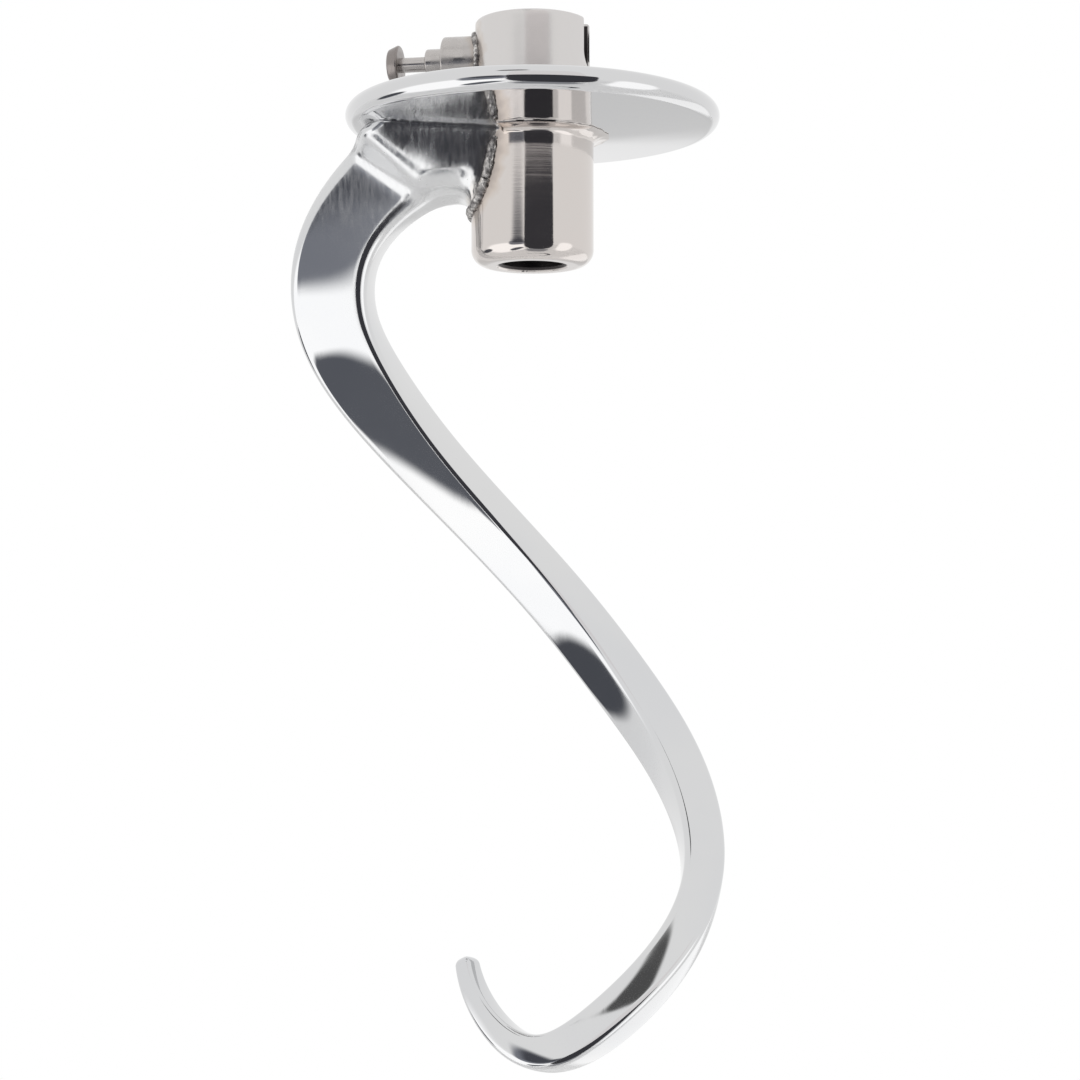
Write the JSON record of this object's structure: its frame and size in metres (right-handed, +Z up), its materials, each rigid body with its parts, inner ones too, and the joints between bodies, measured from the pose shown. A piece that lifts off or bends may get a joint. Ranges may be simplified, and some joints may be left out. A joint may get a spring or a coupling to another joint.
{
  "type": "spiral dough hook",
  "caption": "Polished steel spiral dough hook for a stand mixer, with a guard disc, a slotted drive socket and a spring-loaded pull plunger.",
  "frame": {"origin": "on the axis of the drive bore, at the shoulder where the hub meets the guard disc's underside", "axes": "+Z up along the drive bore, the way the mixer's shaft leaves; the plunger points along -X and the cross-pin slot along +X"},
  "size_m": [0.0878, 0.075, 0.2063],
  "materials": {
    "polished_steel": "polished",
    "turned_steel": "satin",
    "weld_steel": "satin",
    "spring_steel": "satin"
  },
  "bodies": {
    "hook": {"hook_arm": "polished_steel", "guard_disc": "polished_steel", "hub_sleeve": "turned_steel", "hub_weld": "polished_steel", "collar_weld": "weld_steel", "arm_weld": "weld_steel", "plunger_body": "turned_steel", "plunger_weld": "weld_steel", "plunger_bushing": "turned_steel", "plunger_spring": "spring_steel"},
    "plunger": {"plunger_pin": "turned_steel", "spring_washer": "turned_steel", "pull_head": "turned_steel"}
  },
  "joints": [
    {"name": "plunger_pull", "type": "slide", "parent": "hook", "child": "plunger", "axis": [-1, 0, 0], "range_m": [0, 0.0035], "stiffness_N_per_m": 1500, "springref_m": -0.003, "deforming": ["plunger_spring"]}
  ]
}
